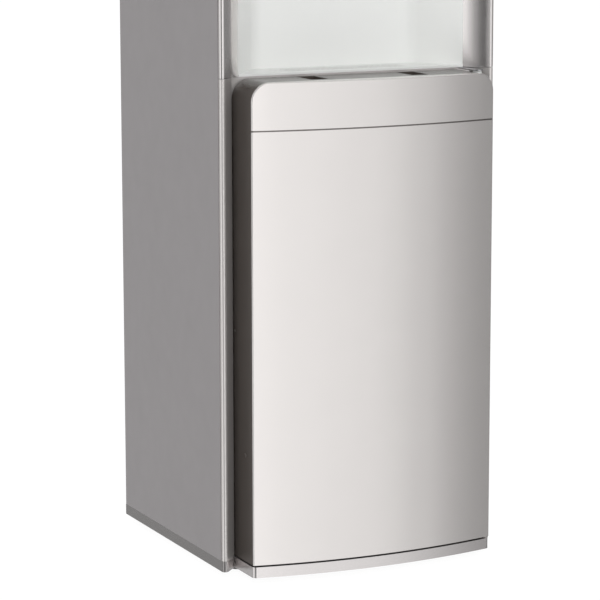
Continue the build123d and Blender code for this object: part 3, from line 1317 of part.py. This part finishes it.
def power_inlet():
    socket_w, socket_h = INLET_W - 2 * SOCKET_WALL, INLET_H - 2 * SOCKET_WALL
    inlet = block(INLET_X, PANEL_BACK + INLET_T / 2, INLET_Z, INLET_W + 2 * INLET_RIM, INLET_T,
                  INLET_H + 2 * INLET_RIM)
    inlet += box(INLET_X - INLET_W / 2, INLET_X + INLET_W / 2, BODY_D - INLET_LEN, PANEL_BACK + JOIN,
                 INLET_Z - INLET_H / 2, INLET_Z + INLET_H / 2)
    inlet -= block(INLET_X, PANEL_BACK + INLET_T, INLET_Z, socket_w, 2 * (SOCKET_DEEP + INLET_T), socket_h)
    floor = PANEL_BACK - SOCKET_DEEP
    for column in (-1, 0, 1):
        z = INLET_Z + PRONG_W * (1 - 2 * abs(column))
        inlet += block(INLET_X + column * PRONG_PITCH, floor + PRONG_LEN / 2 - JOIN, z, PRONG_W, PRONG_LEN,
                       PRONG_H)
    return inlet


def switch_housings():
    housings = []
    slot_w, slot_h = SWITCH_W - 2 * SWITCH_WALL, SWITCH_H - 2 * FIT - SWITCH_WALL - ROCKER_CLEAR
    for x in SWITCHES:
        body = block(x, PANEL_BACK - (SWITCH_LEN + SHEET) / 2, SWITCH_Z, SWITCH_W - 2 * FIT,
                     SWITCH_LEN + SHEET, SWITCH_H - 2 * FIT)
        body += block(x, PANEL_BACK + SWITCH_RIM / 2, SWITCH_Z, SWITCH_W + 2 * SWITCH_RIM, SWITCH_RIM,
                      SWITCH_H + 2 * SWITCH_RIM)
        deep = SWITCH_LEN - SWITCH_FLOOR
        body -= block(x, PANEL_BACK, SWITCH_Z, slot_w, 2 * deep, slot_h)
        housings.append(body)
    return Compound(children=housings)


def rocker(x):
    """Switch key that rocks about an upright axis, with a hollowed face."""
    height = SWITCH_H - 2 * FIT - SWITCH_WALL - 3 * ROCKER_CLEAR
    depth = PANEL_BACK - ROCKER_SUNK
    wheel = Pos(x, back(depth), SWITCH_Z) * Cylinder(ROCKER_R, height)
    key = wheel & box(-FAR, FAR, depth - ROCKER_BACK, FAR, 0, FAR)
    return key - Pos(x, back(depth + BITE_OFF), SWITCH_Z) * Cylinder(BITE_R, SWITCH_H)


PARTS = {
    "base_pan": base_pan,
    "levelling_foot_left": lambda: levelling_foot(-FOOT_X),
    "levelling_foot_right": lambda: levelling_foot(FOOT_X),
    "bottle_tray": bottle_tray,
    "left_side_panel": left_side_panel,
    "right_side_panel": lambda: mirrored(left_side_panel()),
    "lower_front_frame": lower_front_frame,
    "upper_front_frame": upper_front_frame,
    "lower_rear_panel": lower_rear_panel,
    "upper_rear_panel": upper_rear_panel,
    "panel_screws": panel_screws,
    "machine_shelf": machine_shelf,
    "tank_shelf": tank_shelf,
    "door_frame": door_frame,
    "door_front_skin": door_front_skin,
    "door_top_band": door_top_band,
    "finger_cups": finger_cups,
    "door_inner_panel": door_inner_panel,
    "hinge_bushes": hinge_bushes,
    "lower_hinge_pin": lower_hinge_pin,
    "upper_hinge_bracket": upper_hinge_bracket,
    "catch_magnet": catch_magnet,
    "catch_strike": catch_strike,
    "alcove_liner": alcove_liner,
    "alcove_light": alcove_light,
    "drip_tray": drip_tray,
    "drip_grille": drip_grille,
    "cold_nozzle": lambda: nozzle(-NOZZLE_X),
    "room_nozzle": lambda: nozzle(0),
    "hot_nozzle": lambda: nozzle(NOZZLE_X),
    "control_fascia": control_fascia,
    "fascia_insert": fascia_insert,
    "cold_button": lambda: button(-BUTTON_X),
    "room_button": lambda: button(0),
    "hot_button": lambda: button(BUTTON_X),
    "child_lock_slider": child_lock_slider,
    "indicator_lenses": indicator_lenses,
    "control_board": control_board,
    "top_cover": top_cover,
    "compressor": compressor,
    "compressor_grommets": compressor_grommets,
    "cold_tank": cold_tank,
    "tank_insulation": tank_insulation,
    "hot_tank": hot_tank,
    "hot_tank_jacket": hot_tank_jacket,
    "drain_cap": drain_cap,
    "water_pump": water_pump,
    "delivery_hoses": delivery_hoses,
    "nozzle_hoses": nozzle_hoses,
    "refrigerant_pipes": refrigerant_pipes,
    "condenser": condenser,
    "probe_rod": probe_rod,
    "probe_cap": probe_cap,
    "probe_hose": probe_hose,
    "probe_hook": probe_hook,
    "power_inlet": power_inlet,
    "switch_housings": switch_housings,
    "cold_switch": lambda: rocker(SWITCHES[0]),
    "hot_switch": lambda: rocker(SWITCHES[1]),
    "light_switch": lambda: rocker(SWITCHES[2]),
}

os.makedirs("parts", exist_ok=True)
for name, make in PARTS.items():
    export_step(make(), f"parts/{name}.step")
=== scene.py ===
import json
import math

import bpy
from mathutils import Matrix, Vector


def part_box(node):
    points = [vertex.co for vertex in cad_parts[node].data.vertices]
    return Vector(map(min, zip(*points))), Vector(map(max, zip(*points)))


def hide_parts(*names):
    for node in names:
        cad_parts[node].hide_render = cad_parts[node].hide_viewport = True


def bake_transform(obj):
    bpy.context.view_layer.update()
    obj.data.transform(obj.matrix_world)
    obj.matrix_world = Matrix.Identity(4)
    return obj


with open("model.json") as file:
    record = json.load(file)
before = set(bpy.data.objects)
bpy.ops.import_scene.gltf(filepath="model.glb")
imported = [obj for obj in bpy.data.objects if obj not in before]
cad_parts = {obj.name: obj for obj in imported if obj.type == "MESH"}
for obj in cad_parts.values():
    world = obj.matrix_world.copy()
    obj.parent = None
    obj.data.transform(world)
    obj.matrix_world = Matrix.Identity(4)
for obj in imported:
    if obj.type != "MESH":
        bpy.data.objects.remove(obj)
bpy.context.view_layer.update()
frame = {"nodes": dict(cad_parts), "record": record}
nodes = frame["nodes"]

# ---- places and sizes, in metres
CORNER_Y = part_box("lower_front_frame")[0][1]    # plane of the cabinet's front corners
HALF_W = -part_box("left_side_panel")[0][0]
# Painted shade: the base's sides are coloured darker over this width, for the shade that falls there near the
# floor.
PLINTH_SHADE_WIDTH = 0.004         # width of the darker side of the base
# The groove's floor gets painted shade: a dark colour that stands in for the shade inside the groove.
GROOVE_H = 0.0016           # height of the groove under the door's top band
GROOVE_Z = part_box("door_front_skin")[1][2] + GROOVE_H / 2

# ---- camera, in metres and degrees
IMAGE_PX = 600
SENSOR_MM = 36.0
FOCAL_PX = 2714.25
CAMERA_YAW = -25.326
CAMERA_PITCH = 9.942
CAMERA_ROLL = 0.081
CAMERA_X = -1.3421
CAMERA_AHEAD = -2.6791      # along Y, from the plane of the front corners
CAMERA_Z = 0.8285
CLIP_END = 60.0

# ---- finishes
NOISE_LOW = 0.25            # range in which a noise texture's values lie
NOISE_HIGH = 0.75
RAMP_START = 0.3
RAMP_END = 0.7
CLOUD_DETAIL = 3
CLOUD_ROUGH = 0.55
GLOSS_SCALE = 2.3           # how much finer the patches of gloss are than those of colour
GLOSS_SPREAD = 0.1          # share by which the roughness varies
COAT_ROUGH = 0.1

# Pieces that get a copy of their material with painted light: the lower frame gets a less metallic copy, so
# its strip in the shade beside the door reads lighter, and the base gets a copy with painted shade on its
# sides.
PAINTED_LIGHT_COPIES = {"lower_front_frame": "satin_plastic_lit_copy", "base_pan": "plinth_plastic_shaded_sides"}

# ---- edges, in metres and degrees
# Radius of the worn edge that each finish gets. Drawn tube, wire and rubber keep their own form.
EDGE_RADIUS = {"painted_steel": 0.0003, "galvanised": 0.0002, "bare_steel": 0.0002, "board": 0.0002,
               "silver_front": 0.0004, "silver_plastic": 0.0005, "dark_plastic": 0.0005,
               "light_plastic": 0.0005, "black_gloss": 0.0004, "red_plastic": 0.0004,
               "blue_plastic": 0.0004, "foam": 0.001}
EDGE_ANGLE = 32.0           # edges that turn more than this are rounded
EDGE_SEGMENTS = 2
FLAT_ANGLE = 0.03           # faces that turn less than this are joined into one first
FACE_WEIGHT = 100           # how much larger faces lead the shading
SEAM = 0.000002             # vertices nearer than this belong together

# Pieces that keep sharp edges: rounding can break faces here, or reach past the solid's own box.
SHARP = ("drip_grille", "door_frame", "top_cover", "upper_rear_panel", "cold_tank")

# ---- studio, in metres, degrees and watts
FLOOR_HALF = 14.0
FLOOR_GREY = 0.86
FLOOR_GLOW = 1.08           # brightness of the bare floor to the camera
FLOOR_SHADE = 0.12          # how much of the floor's own shading shows to the camera

# Brightness of the studio by compass direction, from straight ahead of the door towards the right.
STUDIO = [(-180, 0.56), (-155, 0.53), (-112, 0.42), (-98, 0.85), (-86, 1.45), (-75, 1.15),
          (-62, 0.74), (-50, 0.42), (-38, 0.17), (-22, 0.03), (-14, 0.50), (-7, 1.90),
          (0, 1.15), (8, 1.10), (25, 1.00), (37, 0.76), (48, 0.45), (54, 0.33),
          (68, 0.21), (88, 0.28), (118, 0.42), (140, 1.0), (165, 0.9), (180, 0.56)]
SKY = 0.95
SKY_FROM = 0.5              # sine of the elevation where the sky begins
SKY_FULL = 0.95             # and where it is full

FILL_W = 20.0
FILL_SIZE = (1.6, 1.2)
FILL_X = -0.9
FILL_AHEAD = 2.3            # in front of the plane of the front corners
FILL_Z = 1.25
FILL_AIM_Z = 0.65


def add_camera():
    """Camera at the photograph's place and angle."""
    data = bpy.data.cameras.new("camera")
    data.sensor_width = SENSOR_MM
    data.lens = FOCAL_PX / IMAGE_PX * SENSOR_MM
    data.clip_end = CLIP_END
    camera = bpy.data.objects.new("camera", data)
    bpy.context.scene.collection.objects.link(camera)
    yaw = math.radians(CAMERA_YAW)
    pitch = math.radians(CAMERA_PITCH)
    level = math.cos(pitch)
    towards_camera = Vector((math.sin(yaw) * level, -math.cos(yaw) * level, math.sin(pitch)))
    right = (-towards_camera).cross(Vector((0, 0, 1))).normalized()
    turn = Matrix.Rotation(-math.radians(CAMERA_ROLL), 3, towards_camera)
    right = turn @ right
    up = towards_camera.cross(right)
    rows = Matrix((right, up, towards_camera)).transposed()
    camera.matrix_world = Matrix.Translation((CAMERA_X, CORNER_Y + CAMERA_AHEAD, CAMERA_Z)) @ rows.to_4x4()
    bpy.context.scene.camera = camera


def srgb(*levels):
    """Linear colour from 0 to 255 screen levels."""
    return tuple((v / 255 / 12.92) if v < 10 else ((v / 255 + 0.055) / 1.055) ** 2.4 for v in levels)


class Graph:
    """The node tree of a material or of the world, under construction."""

    def __init__(self, owner):
        owner.use_nodes = True
        self.tree = owner.node_tree
        self.tree.nodes.clear()

    def add(self, kind, **settings):
        node = self.tree.nodes.new(kind)
        for name, value in settings.items():
            setattr(node, name, value)
        return node

    def link(self, a, out, b, into):
        self.tree.links.new(a.outputs[out], b.inputs[into])


class Finish(Graph):
    """A surface's material under construction, in the frame's coordinates and in metres."""

    def __init__(self, name):
        self.material = bpy.data.materials.new(name)
        super().__init__(self.material)
        out = self.add("ShaderNodeOutputMaterial")
        self.shader = self.add("ShaderNodeBsdfPrincipled")
        self.link(self.shader, "BSDF", out, "Surface")
        self.coordinates = self.add("ShaderNodeTexCoord")

    def noise(self, scale, detail=2.0, rough=0.5, stretch=(1, 1, 1)):
        mapping = self.add("ShaderNodeMapping")
        mapping.inputs["Scale"].default_value = stretch
        self.link(self.coordinates, "Object", mapping, "Vector")
        node = self.add("ShaderNodeTexNoise")
        node.inputs["Scale"].default_value = scale
        node.inputs["Detail"].default_value = detail
        node.inputs["Roughness"].default_value = rough
        self.link(mapping, "Vector", node, "Vector")
        return node

    def ramp(self, source, low, high):
        node = self.add("ShaderNodeValToRGB")
        node.color_ramp.elements[0].position = RAMP_START
        node.color_ramp.elements[1].position = RAMP_END
        node.color_ramp.elements[0].color = (*low, 1)
        node.color_ramp.elements[1].color = (*high, 1)
        self.link(source, "Fac", node, "Fac")
        return node

    def spread(self, source, low, high):
        node = self.add("ShaderNodeMapRange")
        node.inputs["From Min"].default_value = NOISE_LOW
        node.inputs["From Max"].default_value = NOISE_HIGH
        node.inputs["To Min"].default_value = low
        node.inputs["To Max"].default_value = high
        self.link(source, "Fac", node, "Value")
        return node

    def painted_shade(self, colours, axis, middle, half, shade):
        """Painted shade: a darker colour where a point is middle, give or take half, from the frame's origin
        along an axis.
        """
        split = self.add("ShaderNodeSeparateXYZ")
        self.link(self.coordinates, "Object", split, "Vector")
        size = self.add("ShaderNodeMath", operation="ABSOLUTE")
        self.link(split, axis, size, "Value")
        inside = self.add("ShaderNodeMath", operation="COMPARE")
        inside.inputs[1].default_value = middle
        inside.inputs[2].default_value = half
        self.link(size, "Value", inside, "Value")
        mix = self.add("ShaderNodeMix", data_type="RGBA")
        mix.inputs["B"].default_value = (*shade, 1)
        self.link(inside, "Value", mix, "Factor")
        self.link(colours, "Color", mix, "A")
        self.link(mix, "Result", self.shader, "Base Color")

    def bump(self, source, strength, distance):
        node = self.add("ShaderNodeBump")
        node.inputs["Strength"].default_value = strength
        node.inputs["Distance"].default_value = distance
        self.link(source, "Fac", node, "Height")
        self.link(node, "Normal", self.shader, "Normal")


def scaled(colour, factor):
    return tuple(min(1.0, c * factor) for c in colour)


def finish_material(name, colour, rough, metallic=0.0, mottle=0.03, mottle_size=0.05, grain=0.0008,
                    grain_depth=0.00002, grain_strength=0.3, coat=0.0, stretch=(1, 1, 1), painted_shade=None):
    """Moulded, painted or drawn surface: faintly cloudy colour, uneven gloss, a grain of a real size and,
    where given, a band of painted shade.
    """
    g = Finish(name)
    cloud = g.noise(1 / mottle_size, CLOUD_DETAIL, CLOUD_ROUGH)
    colours = g.ramp(cloud, scaled(colour, 1 - mottle), scaled(colour, 1 + mottle))
    if painted_shade:
        g.painted_shade(colours, *painted_shade)
    else:
        g.link(colours, "Color", g.shader, "Base Color")
    patches = g.noise(1 / mottle_size * GLOSS_SCALE)
    gloss = g.spread(patches, rough * (1 - GLOSS_SPREAD), rough * (1 + GLOSS_SPREAD))
    g.link(gloss, "Result", g.shader, "Roughness")
    g.bump(g.noise(1 / grain, stretch=stretch), grain_strength, grain_depth)
    g.shader.inputs["Metallic"].default_value = metallic
    g.shader.inputs["Coat Weight"].default_value = coat
    g.shader.inputs["Coat Roughness"].default_value = COAT_ROUGH
    return g.material


FINISHES = {
    "painted_steel": dict(colour=srgb(186, 182, 183), rough=0.36, metallic=0.85, mottle=0.012, grain=0.0011,
                          grain_depth=0.00001, grain_strength=0.1),
    "silver_plastic": dict(colour=srgb(222, 218, 217), rough=0.19, metallic=0.9, mottle=0.008, grain=0.0006,
                           grain_depth=0.000004, grain_strength=0.06),
    # Painted light: a less metallic copy of the silver plastic, so the lower frame's strip in the door's
    # shade reads lighter.
    "satin_plastic_lit_copy": dict(colour=srgb(214, 210, 208), rough=0.24, metallic=0.58, mottle=0.008, grain=0.0006,
                          grain_depth=0.000004, grain_strength=0.06),
    # Painted shade: the floor of the groove under the door's top band is coloured dark, for the shade inside
    # it.
    "silver_front": dict(colour=srgb(222, 218, 216), rough=0.19, metallic=0.9, mottle=0.006, grain=0.0005,
                         grain_depth=0.000004, grain_strength=0.06,
                         painted_shade=("Z", GROOVE_Z, GROOVE_H / 2, srgb(124, 119, 117))),
    # Painted shade: the base's side faces get a darker colour, for the shade near the floor.
    "plinth_plastic_shaded_sides": dict(colour=srgb(217, 213, 212), rough=0.24, metallic=0.9, mottle=0.008, grain=0.0006,
                           grain_depth=0.000004, grain_strength=0.06,
                           painted_shade=("X", HALF_W, PLINTH_SHADE_WIDTH, srgb(152, 149, 148))),
    "dark_plastic": dict(colour=srgb(72, 66, 62), rough=0.25, mottle=0.03, grain=0.0007,
                         grain_depth=0.00001, grain_strength=0.06),
    "light_plastic": dict(colour=srgb(240, 241, 239), rough=0.32, mottle=0.006, grain=0.0009,
                          grain_depth=0.00001, grain_strength=0.15),
    "black_gloss": dict(colour=srgb(22, 22, 24), rough=0.12, mottle=0.05, coat=0.5, grain_strength=0.02),
    "clear_lens": dict(colour=srgb(225, 232, 236), rough=0.1, mottle=0.02, grain_strength=0.05),
    "rubber": dict(colour=srgb(38, 38, 38), rough=0.7, mottle=0.1, grain=0.0006),
    "bare_steel": dict(colour=srgb(196, 196, 198), rough=0.25, metallic=1.0, mottle=0.03, grain=0.0004,
                       grain_depth=0.00001, stretch=(1, 1, 14)),
    "galvanised": dict(colour=srgb(190, 192, 196), rough=0.42, metallic=0.9, mottle=0.12, mottle_size=0.012,
                       grain=0.002, grain_depth=0.00001),
    "black_metal": dict(colour=srgb(34, 34, 35), rough=0.35, mottle=0.08, grain=0.001),
    "copper": dict(colour=srgb(205, 130, 92), rough=0.28, metallic=1.0, mottle=0.08, mottle_size=0.02),
    "foam": dict(colour=srgb(232, 226, 205), rough=0.75, mottle=0.05, grain=0.003, grain_depth=0.0004),
    "hose": dict(colour=srgb(220, 224, 226), rough=0.3, mottle=0.02),
    "red_plastic": dict(colour=srgb(190, 34, 28), rough=0.25, mottle=0.02, grain_strength=0.05),
    "blue_plastic": dict(colour=srgb(38, 92, 172), rough=0.25, mottle=0.02, grain_strength=0.05),
    "board": dict(colour=srgb(36, 104, 58), rough=0.35, mottle=0.1, mottle_size=0.01),
}
MATERIALS = {name: finish_material(name, **finish) for name, finish in FINISHES.items()}


def dress_nodes():
    """Every solid gets its finish and, apart from the sharp ones, rounded edges."""
    for entry in frame["record"]["subparts"]:
        node = nodes[entry["node"]]
        material = MATERIALS[PAINTED_LIGHT_COPIES.get(entry["node"], entry["material_slot"])]
        if not node.material_slots:
            node.data.materials.append(material)
        for slot in node.material_slots:
            slot.material = material
        if entry["node"] not in SHARP:
            soften_edges(node, EDGE_RADIUS.get(entry["material_slot"], 0))


def soften_edges(piece, radius):
    """Modifiers that join flat faces, round a piece's edges and keep its large faces evenly shaded."""
    if radius <= 0:
        return
    weld = piece.modifiers.new("weld", "WELD")
    weld.merge_threshold = SEAM
    flat = piece.modifiers.new("flat", "DECIMATE")
    flat.decimate_type = "DISSOLVE"
    flat.angle_limit = math.radians(FLAT_ANGLE)
    edge = piece.modifiers.new("edge", "BEVEL")
    edge.width = radius
    edge.segments = EDGE_SEGMENTS
    edge.limit_method = "ANGLE"
    edge.angle_limit = math.radians(EDGE_ANGLE)
    edge.miter_outer = "MITER_SHARP"
    shading = piece.modifiers.new("shading", "WEIGHTED_NORMAL")
    shading.mode = "FACE_AREA"
    shading.weight = FACE_WEIGHT
    shading.keep_sharp = False


def stretch_hose():
    """Copy of the probe's hose, with its transform baked into its mesh, shown in place of the original."""
    part = nodes["probe_hose"]
    hose = part.copy()
    hose.data = part.data.copy()
    hose.name = "probe_hose_drawn"
    hose.parent = None
    hose.matrix_world = part.matrix_world.copy()
    bpy.context.scene.collection.objects.link(hose)
    bpy.context.view_layer.update()
    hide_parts("probe_hose")
    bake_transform(hose)


def add_floor():
    """White floor that keeps a faint shadow and that mirrored rays pass through."""
    mesh = bpy.data.meshes.new("studio_floor")
    s = FLOOR_HALF
    mesh.from_pydata([(-s, -s, 0), (s, -s, 0), (s, s, 0), (-s, s, 0)], [], [(0, 1, 2, 3)])
    floor = bpy.data.objects.new("studio_floor", mesh)
    bpy.context.scene.collection.objects.link(floor)
    material = bpy.data.materials.new("studio_floor")
    g = Graph(material)
    out = g.add("ShaderNodeOutputMaterial")
    matte = g.add("ShaderNodeBsdfDiffuse")
    matte.inputs["Color"].default_value = (FLOOR_GREY, FLOOR_GREY, FLOOR_GREY, 1)
    glow = g.add("ShaderNodeEmission")
    glow.inputs["Strength"].default_value = FLOOR_GLOW
    mix = g.add("ShaderNodeMixShader")
    seen = g.add("ShaderNodeLightPath")
    scale = g.add("ShaderNodeMath", operation="MULTIPLY")
    scale.inputs[1].default_value = 1 - FLOOR_SHADE
    g.link(seen, "Is Camera Ray", scale, 0)
    g.link(scale, 0, mix, "Fac")
    g.link(matte, 0, mix, 1)
    g.link(glow, 0, mix, 2)
    away = g.add("ShaderNodeBsdfTransparent")
    mirror = g.add("ShaderNodeMixShader")
    g.link(seen, "Is Glossy Ray", mirror, "Fac")
    g.link(mix, 0, mirror, 1)
    g.link(away, 0, mirror, 2)
    g.link(mirror, 0, out, "Surface")
    mesh.materials.append(material)


def add_world():
    """Studio that lights the object and is mirrored in it, and white for the camera."""
    world = bpy.data.worlds.new("studio")
    bpy.context.scene.world = world
    g = Graph(world)
    out = g.add("ShaderNodeOutputWorld")
    light = g.add("ShaderNodeBackground")
    white = g.add("ShaderNodeBackground")
    white.inputs["Strength"].default_value = 1.0
    white.inputs["Color"].default_value = (1, 1, 1, 1)
    coordinates = g.add("ShaderNodeTexCoord")
    split = g.add("ShaderNodeSeparateXYZ")
    g.link(coordinates, "Generated", split, 0)
    ahead = g.add("ShaderNodeMath", operation="MULTIPLY")
    ahead.inputs[1].default_value = -1
    g.link(split, "Y", ahead, 0)
    angle = g.add("ShaderNodeMath", operation="ARCTAN2")
    g.link(split, "X", angle, 0)
    g.link(ahead, 0, angle, 1)
    share = g.add("ShaderNodeMapRange")
    share.inputs["From Min"].default_value = -math.pi
    share.inputs["From Max"].default_value = math.pi
    g.link(angle, 0, share, "Value")
    ramp = g.add("ShaderNodeValToRGB")
    ramp.color_ramp.interpolation = "EASE"
    top = max(level for _, level in STUDIO)
    elements = ramp.color_ramp.elements
    for degrees, level in STUDIO:
        place = (degrees + 180) / 360
        ends = {0.0: elements[0], 1.0: elements[-1]}
        element = ends[place] if place in ends else elements.new(place)
        element.color = (level / top, level / top, level / top, 1)
    g.link(share, "Result", ramp, "Fac")
    height = g.add("ShaderNodeMapRange", interpolation_type="SMOOTHSTEP")
    height.inputs["From Min"].default_value = SKY_FROM
    height.inputs["From Max"].default_value = SKY_FULL
    g.link(split, "Z", height, "Value")
    blend = g.add("ShaderNodeMix", data_type="RGBA")
    sky = SKY / top
    blend.inputs["B"].default_value = (sky, sky, sky, 1)
    g.link(height, "Result", blend, "Factor")
    g.link(ramp, "Color", blend, "A")
    g.link(blend, "Result", light, "Color")
    light.inputs["Strength"].default_value = top
    seen = g.add("ShaderNodeLightPath")
    mix = g.add("ShaderNodeMixShader")
    g.link(seen, "Is Camera Ray", mix, "Fac")
    g.link(light, 0, mix, 1)
    g.link(white, 0, mix, 2)
    g.link(mix, 0, out, "Surface")


def add_fill():
    """Large soft lamp in front, for matt surfaces and the alcove, which the silver doesn't mirror."""
    lamp = bpy.data.lights.new("fill", "AREA")
    lamp.shape = "RECTANGLE"
    lamp.size, lamp.size_y = FILL_SIZE
    lamp.energy = FILL_W
    holder = bpy.data.objects.new("fill", lamp)
    bpy.context.scene.collection.objects.link(holder)
    aim = Vector((0, CORNER_Y, FILL_AIM_Z))
    place = Vector((FILL_X, CORNER_Y - FILL_AHEAD, FILL_Z))
    holder.location = place
    holder.rotation_euler = (aim - place).to_track_quat("-Z", "Y").to_euler()
    holder.visible_glossy = False
    holder.visible_camera = False


add_camera()
dress_nodes()
stretch_hose()
add_floor()
add_world()
add_fill()
bpy.context.scene.view_settings.view_transform = "Standard"
